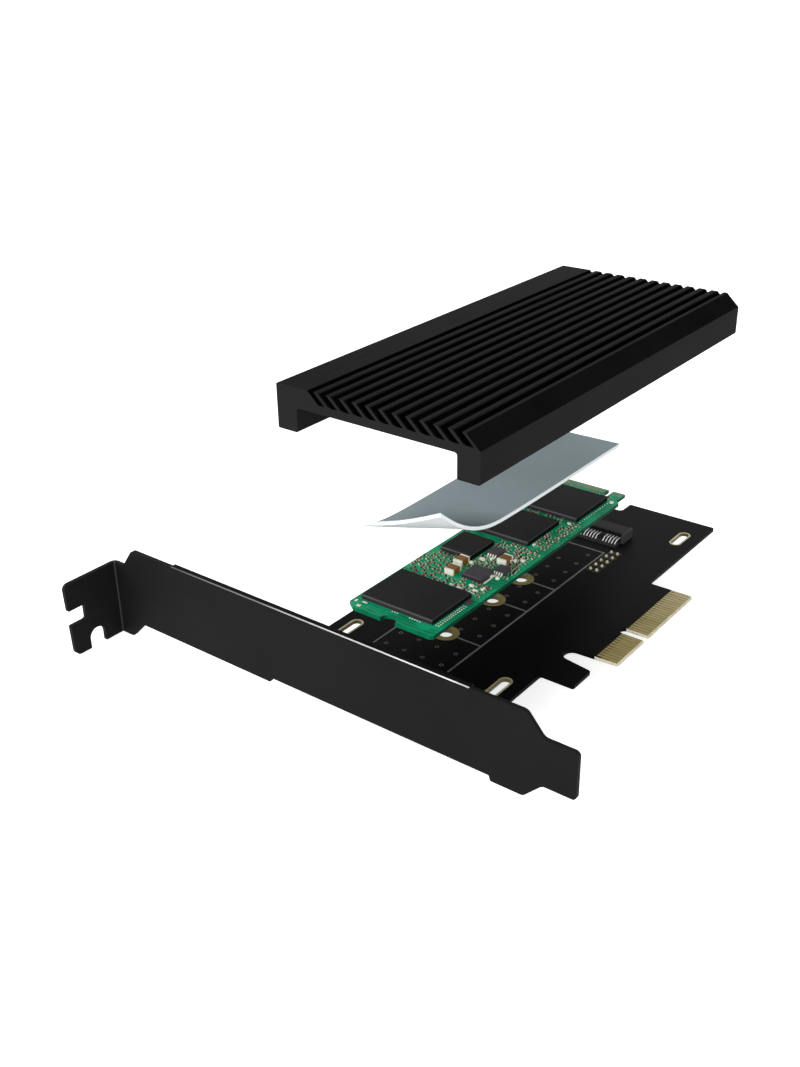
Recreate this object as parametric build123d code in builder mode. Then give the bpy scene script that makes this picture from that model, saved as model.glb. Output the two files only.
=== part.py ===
from build123d import *
import os

os.makedirs("parts", exist_ok=True)

# Driving dimensions, millimetres
# X = 0 is the outer edge of the card's edge connector, Y = 0 the middle of its key notch,
# Z = 0 the component face of the circuit board
board_thick = 0.8
board_left = -58.0
board_right = -10.8
board_near = -54.0
board_far = 57.0
hook_near = -24.95
hook_far = -18.0
hook_end = -3.2
far_notch_left = -46.3
far_notch_right = -34.3
far_notch_deep = 4.75
finger_near = -12.35
finger_far = 22.15
key_width = 2.3
key_depth = 6.2
finger_pitch = 1.0
finger_width = 0.7
finger_length = 4.8
near_fingers = 11
far_fingers = 21
copper = 0.05
print_thick = 0.03
bevel_long = 0.3
bevel_deep = 0.2

slot_x_left = -53.85
slot_x_right = -15.1
slot_y_near = -33.9
slot_y_far = 46.55
slot_length = 7.0
slot_width = 2.2
rim_wide = 0.62
seat_x = -35.65
seat_hole = 3.2
seat_hole_ys = (-43.45, -23.45, -5.45, 6.55)
ring_wide = 6.0

sheet = 0.9
bracket_outer = -55.9
bracket_left = -104.5
bracket_right = 15.5
bracket_top = 14.8
bracket_low = -3.6
tongue_top = 10.48
tongue_low = 0.33
foot_top = 10.15
foot_low = -7.9
foot_reach = 14.1
lip_reach = 1.5
lip_left = -84.8
lip_right = -7.3
fold_round = 0.5
tab_xs = (-50.0, -20.0)
tab_wide = 10.0
tab_reach = 10.0
screw_y = -49.0
screw_shank = 3.0
screw_play = 0.4
screw_head = 5.6
screw_head_tall = 1.9
recess_long = 2.8
recess_wide = 0.5
recess_deep = 1.1

socket_long = 21.3
socket_near = 36.6
socket_deep = 4.0
socket_tall = 2.5
jaw_reach = 3.7
jaw_tall = 0.4

drive_wide = 22.0
drive_long = 80.0
drive_near = -43.45
drive_thick = 0.8
drive_top = 12.9
drive_tongue = 19.85
drive_tongue_long = 4.6
drive_key_offset = 6.125
drive_key_wide = 1.2
drive_key_deep = 3.5
drive_pitch = 0.5
drive_contact_count = 38
drive_contact_wide = 0.35
drive_contact_long = 2.0
drive_notch = 1.9
chip_tall = 1.2
chip_bevel = 0.12

sink_left = -57.85
sink_right = -10.95
sink_near = -47.85
sink_far = 57.0
sink_low = 50.4
sink_top = 59.54
sink_leg = 4.9
sink_ceiling = 55.4
sink_side_top = 56.7
groove_count = 12
groove_pitch = 3.055
groove_wide = 1.55
groove_deep = 2.39
groove_lean = 2.6

pad_left = -45.8
pad_right = -26.0
pad_near = -38.8
pad_far = 32.1
pad_height = 27.2
pad_film = 0.25
pad_thick = 1.0

# Derived sizes
bracket_inner = bracket_outer + sheet
drive_low = drive_top - drive_thick
drive_far = drive_near + drive_long
drive_left = seat_x - drive_wide / 2
drive_right = seat_x + drive_wide / 2


# Bracket: a folded sheet with a foot, a tongue, a stiffening lip and two tabs under the board
plate_outline = [
    (bracket_left, foot_top, 0.0),
    (-100.6, foot_top, 1.6),
    (-97.2, bracket_top, 1.6),
    (4.7, bracket_top, 1.6),
    (8.4, tongue_top, 1.6),
    (bracket_right, tongue_top, 1.0),
    (bracket_right, tongue_low, 0.9),
    (8.6, tongue_low, 1.6),
    (4.7, bracket_low, 1.6),
    (-2.4, bracket_low, 0.3),
    (-2.7, bracket_low + 1.13, 0.3),
    (-56.7, bracket_low + 1.13, 0.3),
    (-57.2, bracket_low, 0.3),
    (-95.8, bracket_low, 1.8),
    (-100.0, foot_low, 1.8),
    (bracket_left, foot_low, 0.0),
]
foot_end = bracket_outer - foot_reach
foot_outline = [
    (bracket_inner, foot_top, 0.0),
    (foot_end, foot_top, 1.4),
    (foot_end + 0.25, 3.6, 0.3),
    (-65.4, 3.6, 0.5),
    (-65.4, -0.05, 0.5),
    (foot_end + 0.35, -0.05, 0.3),
    (foot_end + 0.6, foot_low, 1.7),
    (-65.0, foot_low, 0.2),
    (-65.0, -3.45, 2.09),
    (-60.8, -3.45, 2.09),
    (-60.8, foot_low, 0.2),
    (bracket_inner, foot_low, 0.0),
]
with BuildPart() as bracket:
    with BuildSketch(Plane.XZ.offset(-bracket_inner)):
        with BuildLine():
            FilletPolyline([p[:2] for p in plate_outline], radius=[p[2] for p in plate_outline], close=True)
        make_face()
    extrude(amount=sheet)
    with BuildSketch(Plane.YZ.offset(bracket_left)):
        with BuildLine():
            FilletPolyline([p[:2] for p in foot_outline], radius=[p[2] for p in foot_outline], close=True)
        make_face()
    extrude(amount=sheet)
    folds = bracket.edges().filter_by(Axis.Z).filter_by(lambda e: e.length > 15)
    folds = folds.sort_by(lambda e: abs(e.center().X - bracket_left) + abs(e.center().Y - bracket_inner))
    fillet(folds[0], sheet + 0.45)
    with BuildSketch(Plane.YZ.offset(lip_left)):
        with Locations((bracket_outer, bracket_top)):
            Rectangle(lip_reach, sheet, align=(Align.MIN, Align.MAX))
    extrude(amount=lip_right - lip_left)
    with BuildSketch(Plane.YZ.offset(lip_left)):
        with Locations((bracket_outer, bracket_top)):
            Rectangle(fold_round, fold_round, align=(Align.MIN, Align.MAX))
        with Locations((bracket_outer + fold_round, bracket_top - fold_round)):
            Circle(fold_round, mode=Mode.SUBTRACT)
    extrude(amount=lip_right - lip_left, mode=Mode.SUBTRACT)
    for tab_x in tab_xs:
        with BuildSketch(Plane.XY.offset(-board_thick - sheet)):
            with Locations((tab_x, bracket_inner)):
                Rectangle(tab_wide, tab_reach, align=(Align.CENTER, Align.MIN))
            with Locations((tab_x, screw_y)):
                Circle(screw_shank / 2, mode=Mode.SUBTRACT)
        extrude(amount=sheet)
bracket.part.label = "bracket"
export_step(bracket.part, "parts/bracket.step")

# Pan-head screws that hold the board to the tabs, each with a cross recess
with BuildPart() as bracket_screws:
    with BuildSketch(Plane.XY.offset(-board_thick - sheet)):
        with Locations([(x, screw_y) for x in tab_xs]):
            Circle(screw_shank / 2)
    extrude(amount=board_thick + sheet)
    with BuildSketch(Plane.XY):
        with Locations([(x, screw_y) for x in tab_xs]):
            Circle(screw_head / 2)
    extrude(amount=screw_head_tall)
    chamfer(bracket_screws.edges().group_by(Axis.Z)[-1], 0.6)
    with BuildSketch(Plane.XY.offset(screw_head_tall)):
        with Locations([(x, screw_y) for x in tab_xs]):
            Rectangle(recess_long, recess_wide)
            Rectangle(recess_wide, recess_long)
    extrude(amount=-recess_deep, mode=Mode.SUBTRACT)
bracket_screws.part.label = "bracket_screws"
export_step(bracket_screws.part, "parts/bracket_screws.step")

# Circuit board with the hook tab, the keyed edge connector and the notch in the far edge
slot_places = [(x, y) for x in (slot_x_left, slot_x_right) for y in (slot_y_near, slot_y_far)]
seat_places = [(seat_x, y) for y in seat_hole_ys]
board_outline = [
    (board_left, board_near, 0.6),
    (board_right, board_near, 0.6),
    (board_right, hook_near, 0.5),
    (hook_end, hook_near, 0.5),
    (hook_end, hook_far, 0.5),
    (board_right - 0.3, hook_far + 1.3, 1.8),
    (board_right - 0.3, finger_near - 0.65, 1.8),
    (0.0, finger_near, 0.4),
    (0.0, -key_width / 2, 0.1),
    (-key_depth, -key_width / 2, key_width / 2 - 0.01),
    (-key_depth, key_width / 2, key_width / 2 - 0.01),
    (0.0, key_width / 2, 0.1),
    (0.0, finger_far, 0.4),
    (board_right, finger_far, 0.9),
    (board_right, board_far, 0.6),
    (far_notch_right, board_far, 0.3),
    (far_notch_right, board_far - far_notch_deep, 1.0),
    (far_notch_left, board_far - far_notch_deep, 1.0),
    (far_notch_left, board_far, 0.3),
    (board_left, board_far, 0.6),
]
with BuildPart() as circuit_board:
    with BuildSketch(Plane.XY.offset(-board_thick)):
        with BuildLine():
            FilletPolyline([p[:2] for p in board_outline], radius=[p[2] for p in board_outline], close=True)
        make_face()
        with Locations(slot_places):
            SlotOverall(slot_length, slot_width, rotation=90, mode=Mode.SUBTRACT)
        with Locations(seat_places):
            Circle(seat_hole / 2, mode=Mode.SUBTRACT)
        with Locations([(x, screw_y) for x in tab_xs]):
            Circle((screw_shank + screw_play) / 2, mode=Mode.SUBTRACT)
    extrude(amount=board_thick)
    with BuildSketch(Plane.XZ.offset(-finger_near + 0.2)):
        for face_z, drop in ((0.0, -bevel_deep), (-board_thick, bevel_deep)):
            with BuildLine():
                Polyline((-bevel_long, face_z), (0.01, face_z), (0.01, face_z + drop), close=True)
            make_face()
    extrude(amount=finger_near - finger_far - 0.4, mode=Mode.SUBTRACT)
circuit_board.part.label = "circuit_board"
export_step(circuit_board.part, "parts/circuit_board.step")

# Edge connector contacts on both faces, from the bevel inwards
first_finger = key_width / 2 + 0.55
near_finger_ys = [-first_finger - finger_pitch * i for i in range(near_fingers)]
far_finger_ys = [first_finger + finger_pitch * i for i in range(far_fingers)]
with BuildPart() as edge_contacts:
    for face_z in (0.0, -board_thick - copper):
        with BuildSketch(Plane.XY.offset(face_z)):
            with Locations([(-bevel_long, y) for y in near_finger_ys + far_finger_ys]):
                Rectangle(finger_length, finger_width, align=(Align.MAX, Align.CENTER))
        extrude(amount=copper)
edge_contacts.part.label = "edge_contacts"
export_step(edge_contacts.part, "parts/edge_contacts.step")

# Plated rims of the slots on the component face
with BuildPart() as slot_plating:
    with BuildSketch(Plane.XY):
        with Locations(slot_places):
            SlotOverall(slot_length + 2 * rim_wide, slot_width + 2 * rim_wide, rotation=90)
            SlotOverall(slot_length, slot_width, rotation=90, mode=Mode.SUBTRACT)
    extrude(amount=copper)
slot_plating.part.label = "slot_plating"
export_step(slot_plating.part, "parts/slot_plating.step")

# Plated rims of the holes for the drive's hold-down screw, one for each drive length
with BuildPart() as seat_rings:
    with BuildSketch(Plane.XY):
        with Locations(seat_places):
            Circle(ring_wide / 2)
            Circle(seat_hole / 2, mode=Mode.SUBTRACT)
    extrude(amount=copper)
seat_rings.part.label = "seat_rings"
export_step(seat_rings.part, "parts/seat_rings.step")

# Small round via pads in rows along the traces
via_round = 1.2
via_columns = [seat_x + x for x in (-7.95, -3.05, 1.65, 6.55)]
via_places = [(x, y) for x in via_columns for y in (-34.15, -29.0)]
via_places += [(x, y) for x in via_columns[2:] for y in (-20.2, -14.8, -9.35, -2.1, 3.2, 10.2, 15.35, 20.55)]
via_places += [(via_columns[3], 25.9)]
with BuildPart() as via_pads:
    with BuildSketch(Plane.XY):
        with Locations(via_places):
            RegularPolygon(via_round / 2, 12)
    extrude(amount=copper)
via_pads.part.label = "via_pads"
export_step(via_pads.part, "parts/via_pads.step")

# Printed lines that frame the drive's place and mark each screw hole
line_wide = 0.45
line_right = seat_x + 9.15
line_left = seat_x - 10.25
line_near = -35.6
line_far = 29.1
ring_right = seat_x + ring_wide / 2 + 0.1
ring_left = seat_x - ring_wide / 2 - 0.1
with BuildPart() as printed_lines:
    with BuildSketch(Plane.XY):
        for x in (line_right, line_left):
            with Locations((x, (line_near + line_far) / 2)):
                Rectangle(line_wide, line_far - line_near)
        with Locations(((line_right + line_left) / 2, line_far)):
            Rectangle(line_right - line_left + line_wide, line_wide)
        for y in seat_hole_ys[1:]:
            with Locations((line_right, y)):
                Rectangle(line_right - ring_right, line_wide, align=(Align.MAX, Align.CENTER))
            with Locations((line_left, y)):
                Rectangle(ring_left - line_left, line_wide, align=(Align.MIN, Align.CENTER))
    extrude(amount=print_thick)
printed_lines.part.label = "printed_lines"
export_step(printed_lines.part, "parts/printed_lines.step")

# Two rows of soldered pins on their pads
pin_columns = (10.6, 12.25)
pin_rows = 5
pin_pitch = 2.5
pin_start = socket_near - 6.5
pin_round = 0.88
pin_tall = 0.9
pin_pad_wide = 1.5
pin_pad_long = 2.0
pin_places = [(seat_x + x, pin_start - pin_pitch * i) for x in pin_columns for i in range(pin_rows)]
with BuildPart() as header_pads:
    with BuildSketch(Plane.XY):
        with Locations(pin_places):
            Rectangle(pin_pad_wide, pin_pad_long)
    extrude(amount=copper)
header_pads.part.label = "header_pads"
export_step(header_pads.part, "parts/header_pads.step")

with BuildPart() as header_pins:
    with BuildSketch(Plane.XY.offset(copper)):
        with Locations(pin_places):
            RegularPolygon(pin_round / 2, 10)
    extrude(amount=pin_tall)
    chamfer(header_pins.edges().group_by(Axis.Z)[-1], 0.22, 0.18)
header_pins.part.label = "header_pins"
export_step(header_pins.part, "parts/header_pins.step")

# Card-edge socket for the drive: a low jaw and a taller block with the mouth towards the bracket side
socket_left = seat_x - socket_long / 2
socket_right = seat_x + socket_long / 2
cap_wide = 0.65
cap_reach = 0.7
mouth_low = 1.25
mouth_deep = 3.4
mouth_play = 0.05
mouth_high = mouth_low + drive_thick + mouth_play
mouth_wide = socket_long - 2 * cap_wide
leg_high = 1.22
leg_wide = 0.42
leg_thick = 0.16
leg_pitch = 0.82
leg_reach = 1.6
leg_foot = 0.25
leg_drop = 1.1
right_legs = 5
key_gap = 2.05
leg_margin = 1.3
left_legs = int((socket_long - 2 * leg_margin - key_gap - right_legs * leg_pitch) / leg_pitch)
leg_xs = [socket_right - leg_margin - leg_pitch * i for i in range(right_legs)]
leg_xs += [leg_xs[-1] - key_gap - leg_pitch * i for i in range(left_legs)]
with BuildPart() as m2_socket:
    with BuildSketch(Plane.XY):
        with Locations((seat_x, socket_near)):
            Rectangle(mouth_wide, socket_deep, align=(Align.CENTER, Align.MIN))
    extrude(amount=socket_tall)
    chamfer(m2_socket.edges().group_by(Axis.Z)[-1].sort_by(Axis.Y)[-1], 0.3)
    with BuildSketch(Plane.XY):
        with Locations((seat_x, socket_near)):
            Rectangle(mouth_wide, jaw_reach, align=(Align.CENTER, Align.MAX))
    extrude(amount=jaw_tall)
    with BuildSketch(Plane.XZ.offset(-socket_near)):
        with Locations((seat_x, (mouth_low + mouth_high) / 2)):
            Rectangle(mouth_wide, mouth_high - mouth_low)
    extrude(amount=-mouth_deep, mode=Mode.SUBTRACT)
m2_socket.part.label = "m2_socket"
export_step(m2_socket.part, "parts/m2_socket.step")

with BuildPart() as m2_socket_ends:
    for x, side in ((socket_left, Align.MIN), (socket_right, Align.MAX)):
        with BuildSketch(Plane.XY):
            with Locations((x, socket_near - cap_reach)):
                Rectangle(cap_wide, socket_deep + cap_reach, align=(side, Align.MIN))
        extrude(amount=socket_tall)
    fillet(m2_socket_ends.edges().group_by(Axis.Z)[-1], 0.15)
m2_socket_ends.part.label = "m2_socket_ends"
export_step(m2_socket_ends.part, "parts/m2_socket_ends.step")

# Spring legs that leave the block below its mouth and bend down to the jaw
with BuildPart() as m2_socket_contacts:
    for x in leg_xs:
        with BuildSketch(Plane.YZ.offset(x - leg_wide / 2)):
            with BuildLine():
                Polyline(
                    (socket_near, leg_high),
                    (socket_near - leg_reach - leg_thick, leg_high),
                    (socket_near - leg_reach - leg_drop, jaw_tall),
                    (socket_near - leg_reach - leg_drop + leg_foot, jaw_tall),
                    (socket_near - leg_reach, leg_high - leg_thick),
                    (socket_near, leg_high - leg_thick),
                    close=True,
                )
            make_face()
        extrude(amount=leg_wide)
m2_socket_contacts.part.label = "m2_socket_contacts"
export_step(m2_socket_contacts.part, "parts/m2_socket_contacts.step")

# Drive board, held above its seat, with the keyed tongue and the half-round screw notch
tongue_right = seat_x + drive_tongue / 2
tongue_left = seat_x - drive_tongue / 2
shoulder = drive_far - drive_tongue_long
drive_key = seat_x + drive_key_offset
with BuildPart() as drive_board:
    with BuildSketch(Plane.XY.offset(drive_low)):
        with BuildLine():
            Polyline(
                (drive_left + 2.1, drive_near),
                (drive_right - 0.6, drive_near),
                (drive_right, drive_near + 0.6),
                (drive_right, shoulder - 0.7),
                (drive_right - 0.7, shoulder),
                (tongue_right, shoulder + 0.2),
                (tongue_right, drive_far),
                (tongue_left, drive_far),
                (tongue_left, shoulder + 0.2),
                (drive_left + 0.7, shoulder),
                (drive_left, shoulder - 0.7),
                (drive_left, drive_near + 1.5),
                close=True,
            )
        make_face()
        with Locations((seat_x, drive_near)):
            Circle(drive_notch, mode=Mode.SUBTRACT)
        with Locations((drive_key, drive_far)):
            SlotOverall(2 * drive_key_deep, drive_key_wide, rotation=90, mode=Mode.SUBTRACT)
    extrude(amount=drive_thick)
drive_board.part.label = "drive_board"
export_step(drive_board.part, "parts/drive_board.step")

# Drive contacts on both faces of the tongue
first_contact = seat_x - drive_pitch * (drive_contact_count - 1) / 2
drive_contact_xs = [first_contact + drive_pitch * i for i in range(drive_contact_count)]
drive_contact_xs = [x for x in drive_contact_xs if abs(x - drive_key) > drive_key_wide / 2 + 0.3]
with BuildPart() as drive_contacts:
    for face_z in (drive_top, drive_low - copper):
        with BuildSketch(Plane.XY.offset(face_z)):
            with Locations([(x, drive_far - 0.3) for x in drive_contact_xs]):
                Rectangle(drive_contact_wide, drive_contact_long, align=(Align.CENTER, Align.MAX))
        extrude(amount=copper)
drive_contacts.part.label = "drive_contacts"
export_step(drive_contacts.part, "parts/drive_contacts.step")


# A point on the drive: shares of its width from the middle line and of its length from the near edge
def on_drive(across, along):
    return seat_x + across * drive_wide, drive_near + along * drive_long


# Memory and controller packages: low black slabs, given as (centre x, centre y, width, depth)
front_memory = (*on_drive(-0.025, 0.1306), 18.0, 13.6)
controller = (*on_drive(-0.223, 0.4375), 8.1, 9.1)
middle_memory = (*on_drive(-0.066, 0.6231), 14.0, 13.4)
rear_memory = (*on_drive(-0.039, 0.8388), 18.0, 14.5)
with BuildPart() as drive_front_memory:
    with BuildSketch(Plane.XY.offset(drive_top)):
        with Locations(front_memory[:2]):
            Rectangle(*front_memory[2:])
    extrude(amount=chip_tall)
    chamfer(drive_front_memory.edges().group_by(Axis.Z)[-1], chip_bevel)
drive_front_memory.part.label = "drive_front_memory"
export_step(drive_front_memory.part, "parts/drive_front_memory.step")

with BuildPart() as drive_controller:
    with BuildSketch(Plane.XY.offset(drive_top)):
        with Locations(controller[:2]):
            Rectangle(*controller[2:])
    extrude(amount=chip_tall)
    chamfer(drive_controller.edges().group_by(Axis.Z)[-1], chip_bevel)
drive_controller.part.label = "drive_controller"
export_step(drive_controller.part, "parts/drive_controller.step")

with BuildPart() as drive_middle_memory:
    with BuildSketch(Plane.XY.offset(drive_top)):
        with Locations(middle_memory[:2]):
            Rectangle(*middle_memory[2:])
    extrude(amount=chip_tall)
    chamfer(drive_middle_memory.edges().group_by(Axis.Z)[-1], chip_bevel)
drive_middle_memory.part.label = "drive_middle_memory"
export_step(drive_middle_memory.part, "parts/drive_middle_memory.step")

with BuildPart() as drive_rear_memory:
    with BuildSketch(Plane.XY.offset(drive_top)):
        with Locations(rear_memory[:2]):
            Rectangle(*rear_memory[2:])
    extrude(amount=chip_tall)
    chamfer(drive_rear_memory.edges().group_by(Axis.Z)[-1], chip_bevel)
drive_rear_memory.part.label = "drive_rear_memory"
export_step(drive_rear_memory.part, "parts/drive_rear_memory.step")

# Power parts: one square choke and two small packages with pins on their near side
choke = (*on_drive(0.193, 0.3206), 4.9, 4.9)
choke_tall = 1.1
ic_tall = 0.9
ic_pin_pitch = 0.65
ic_pin_wide = 0.35
ic_pin_tall = 0.3
pin_out = 0.55
side_ic_deep = 2.8
side_ic_y = choke[1] + choke[3] / 2 + 0.1 + pin_out + side_ic_deep / 2
small_ics = ((*on_drive(0.084, 0.4531), 3.0, 3.0), (on_drive(0.3386, 0)[0], side_ic_y, 2.6, side_ic_deep))
with BuildPart() as drive_choke:
    with BuildSketch(Plane.XY.offset(drive_top)):
        with Locations(choke[:2]):
            Rectangle(*choke[2:])
    extrude(amount=choke_tall)
    chamfer(drive_choke.edges().group_by(Axis.Z)[-1], 0.2)
drive_choke.part.label = "drive_choke"
export_step(drive_choke.part, "parts/drive_choke.step")

with BuildPart() as drive_power_ics:
    with BuildSketch(Plane.XY.offset(drive_top)):
        for ic in small_ics:
            with Locations(ic[:2]):
                Rectangle(*ic[2:])
    extrude(amount=ic_tall)
drive_power_ics.part.label = "drive_power_ics"
export_step(drive_power_ics.part, "parts/drive_power_ics.step")

with BuildPart() as drive_ic_pins:
    with BuildSketch(Plane.XY.offset(drive_top)):
        for ic in small_ics:
            for side, edge in ((-1, Align.MAX), (1, Align.MIN)):
                pins_y = ic[1] + side * ic[3] / 2
                with Locations([(ic[0] + ic_pin_pitch * k, pins_y) for k in (-1.5, -0.5, 0.5, 1.5)]):
                    Rectangle(ic_pin_wide, pin_out, align=(Align.CENTER, edge))
    extrude(amount=ic_pin_tall)
drive_ic_pins.part.label = "drive_ic_pins"
export_step(drive_ic_pins.part, "parts/drive_ic_pins.step")

# Large capacitors: a tan body between two metal end caps
cap_body = (2.2, 2.1, 1.3)
cap_end = 0.5
cap_half = cap_body[1] / 2 + cap_end
cap_gap = 0.55
near_cap_y = controller[1] - controller[3] / 2 - cap_gap - cap_half
side_cap_y = side_ic_y + side_ic_deep / 2 + pin_out + cap_gap + cap_half
large_caps = (
    (on_drive(-0.048, 0)[0], near_cap_y - 2 * cap_half - 1.3),
    (on_drive(-0.0886, 0)[0], near_cap_y),
    (on_drive(0.248, 0)[0], side_cap_y),
)
with BuildPart() as drive_capacitors:
    with BuildSketch(Plane.XY.offset(drive_top)):
        with Locations(large_caps):
            Rectangle(cap_body[0], cap_body[1])
    extrude(amount=cap_body[2])
drive_capacitors.part.label = "drive_capacitors"
export_step(drive_capacitors.part, "parts/drive_capacitors.step")

with BuildPart() as drive_capacitor_ends:
    with BuildSketch(Plane.XY.offset(drive_top)):
        for x, y in large_caps:
            for side, edge in ((-1, Align.MAX), (1, Align.MIN)):
                with Locations((x, y + side * cap_body[1] / 2)):
                    Rectangle(cap_body[0], cap_end, align=(Align.CENTER, edge))
    extrude(amount=cap_body[2])
drive_capacitor_ends.part.label = "drive_capacitor_ends"
export_step(drive_capacitor_ends.part, "parts/drive_capacitor_ends.step")

# Small chip parts: each a body between two solder ends, in rows beside the packages
taken = [front_memory, controller, middle_memory, rear_memory, choke] + list(small_ics)
taken += [(x, y, cap_body[0], cap_body[1] + 2 * cap_end) for x, y in large_caps]


def is_clear(x, y, wide, deep):
    for cx, cy, w, d in taken:
        if abs(x - cx) < (w + wide) / 2 + 0.15 and abs(y - cy) < (d + deep) / 2 + 0.65:
            return False
    return True


def row_at(along):
    return on_drive(0, along)[1]


chip_long = 1.1
chip_wide = 0.55
end_long = 0.25
chip_part_tall = 0.5
along_y = [(drive_right - 1.35, row_at(0.0656) + 1.45 * i) for i in range(9)]
along_y += [(drive_right - 1.45, row_at(0.2369) + 1.5 * i) for i in range(24)]
along_y += [(drive_right - 2.55, row_at(0.4106) + 1.5 * i) for i in range(17)]
along_y += [(drive_right - 3.75, row_at(0.5006) + 1.55 * i) for i in range(10)]
along_x = [(drive_left + 1.75 + 1.75 * i, row_at(0.2319)) for i in range(10)]
along_x += [(drive_left + 1.75 + 1.75 * i, row_at(0.2481)) for i in range(9)]
along_x += [(drive_left + 2.25 + 1.75 * i, row_at(0.2706)) for i in range(4)]
along_x += [(drive_left + 1.85 + 1.7 * i, row_at(0.3281)) for i in range(3)]
along_x += [(drive_left + 1.85 + 1.7 * i, row_at(0.3531)) for i in range(3)]
along_x += [(seat_x + 1.05 + 1.6 * i, row_at(0.3856)) for i in range(3)]
along_x += [(seat_x + 1.05 + 1.6 * i, row_at(0.4031)) for i in range(2)]
along_x += [(seat_x + 0.75 + 1.6 * i, row_at(0.5006)) for i in range(4)]
along_x += [(seat_x + 0.75 + 1.6 * i, row_at(0.5181)) for i in range(4)]
along_x += [(drive_left + 2.35 + 1.7 * i, drive_near + 1.85) for i in range(3)]
along_y = [p for p in along_y if is_clear(p[0], p[1], chip_wide, chip_long)]
along_x = [p for p in along_x if is_clear(p[0], p[1], chip_long, chip_wide)]
with BuildPart() as drive_chip_parts:
    with BuildSketch(Plane.XY.offset(drive_top)):
        with Locations(along_y):
            Rectangle(chip_wide, chip_long - 2 * end_long)
        with Locations(along_x):
            Rectangle(chip_long - 2 * end_long, chip_wide)
    extrude(amount=chip_part_tall)
drive_chip_parts.part.label = "drive_chip_parts"
export_step(drive_chip_parts.part, "parts/drive_chip_parts.step")

with BuildPart() as drive_chip_ends:
    with BuildSketch(Plane.XY.offset(drive_top)):
        for side, edge in ((-1, Align.MAX), (1, Align.MIN)):
            reach = side * (chip_long / 2 - end_long)
            with Locations([(x, y + reach) for x, y in along_y]):
                Rectangle(chip_wide, end_long, align=(Align.CENTER, edge))
            with Locations([(x + reach, y) for x, y in along_x]):
                Rectangle(end_long, chip_wide, align=(edge, Align.CENTER))
    extrude(amount=chip_part_tall)
drive_chip_ends.part.label = "drive_chip_ends"
export_step(drive_chip_ends.part, "parts/drive_chip_ends.step")

# Thermal pad with its grey cover film: a strip whose near end lifts and whose right corner peels up
curl_left = (pad_left, pad_near, pad_height + 2.8)
curl_right = (pad_right - 1.4, pad_near + 2.05, pad_height + 9.2)
far_left = (pad_left, pad_far, pad_height)
far_right = (pad_right, pad_far, pad_height + 0.3)
left_edge = Spline(
    far_left,
    (pad_left, pad_near + 38.8, pad_height),
    (pad_left, pad_near + 18.8, pad_height),
    (pad_left, pad_near + 7.8, pad_height + 0.6),
    curl_left,
)
right_edge = Spline(
    far_right,
    (pad_right, pad_near + 38.8, pad_height + 0.7),
    (pad_right, pad_near + 20.8, pad_height + 0.8),
    (pad_right - 0.15, pad_near + 13.8, pad_height + 2.0),
    (pad_right - 0.6, pad_near + 7.0, pad_height + 5.2),
    curl_right,
)
near_edge = Spline(
    curl_left,
    ((curl_left[0] + curl_right[0]) / 2, pad_near + 1.1, pad_height + 5.35),
    curl_right,
)
far_edge = Line(far_left, far_right)
pad_face = Face.make_gordon_surface([far_edge, near_edge], [left_edge, right_edge])
up = (0, 0, 1)
with BuildPart() as pad_cover_film:
    thicken(pad_face, amount=pad_film, normal_override=up)
pad_cover_film.part.label = "pad_cover_film"
export_step(pad_cover_film.part, "parts/pad_cover_film.step")

with BuildPart() as thermal_pad:
    thicken(pad_face, amount=pad_thick, normal_override=(0, 0, -1))
thermal_pad.part.label = "thermal_pad"
export_step(thermal_pad.part, "parts/thermal_pad.step")

# Heat sink: an extruded bridge with two legs and leaning fins cut into its top
lean_at_side = groove_lean * (sink_top - sink_side_top) / groove_deep
with BuildPart() as heat_sink:
    with BuildSketch(Plane.XZ.offset(-sink_near)):
        with BuildLine():
            FilletPolyline(
                (sink_left, sink_low),
                (sink_left + sink_leg, sink_low),
                (sink_left + sink_leg, sink_ceiling),
                (sink_right - sink_leg, sink_ceiling),
                (sink_right - sink_leg, sink_low),
                (sink_right, sink_low),
                (sink_right, sink_side_top),
                (sink_right - lean_at_side, sink_top),
                (sink_left, sink_top),
                radius=[0.3, 0.3, 0.6, 0.6, 0.3, 0.3, 0.2, 0.1, 0.3],
                close=True,
            )
        make_face()
        fin_foot = sink_right - 1.3
        for k in range(groove_count):
            foot = fin_foot - groove_pitch * k
            with BuildLine():
                Polyline(
                    (foot, sink_top - groove_deep),
                    (foot - groove_wide, sink_top - groove_deep),
                    (foot - groove_wide - groove_lean * 1.2, sink_top + groove_deep * 0.2),
                    (foot - groove_lean * 1.2, sink_top + groove_deep * 0.2),
                    close=True,
                )
            make_face(mode=Mode.SUBTRACT)
    extrude(amount=sink_near - sink_far)
heat_sink.part.label = "heat_sink"
export_step(heat_sink.part, "parts/heat_sink.step")
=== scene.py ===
import bpy
import numpy as np
from mathutils import Matrix, Vector


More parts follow.
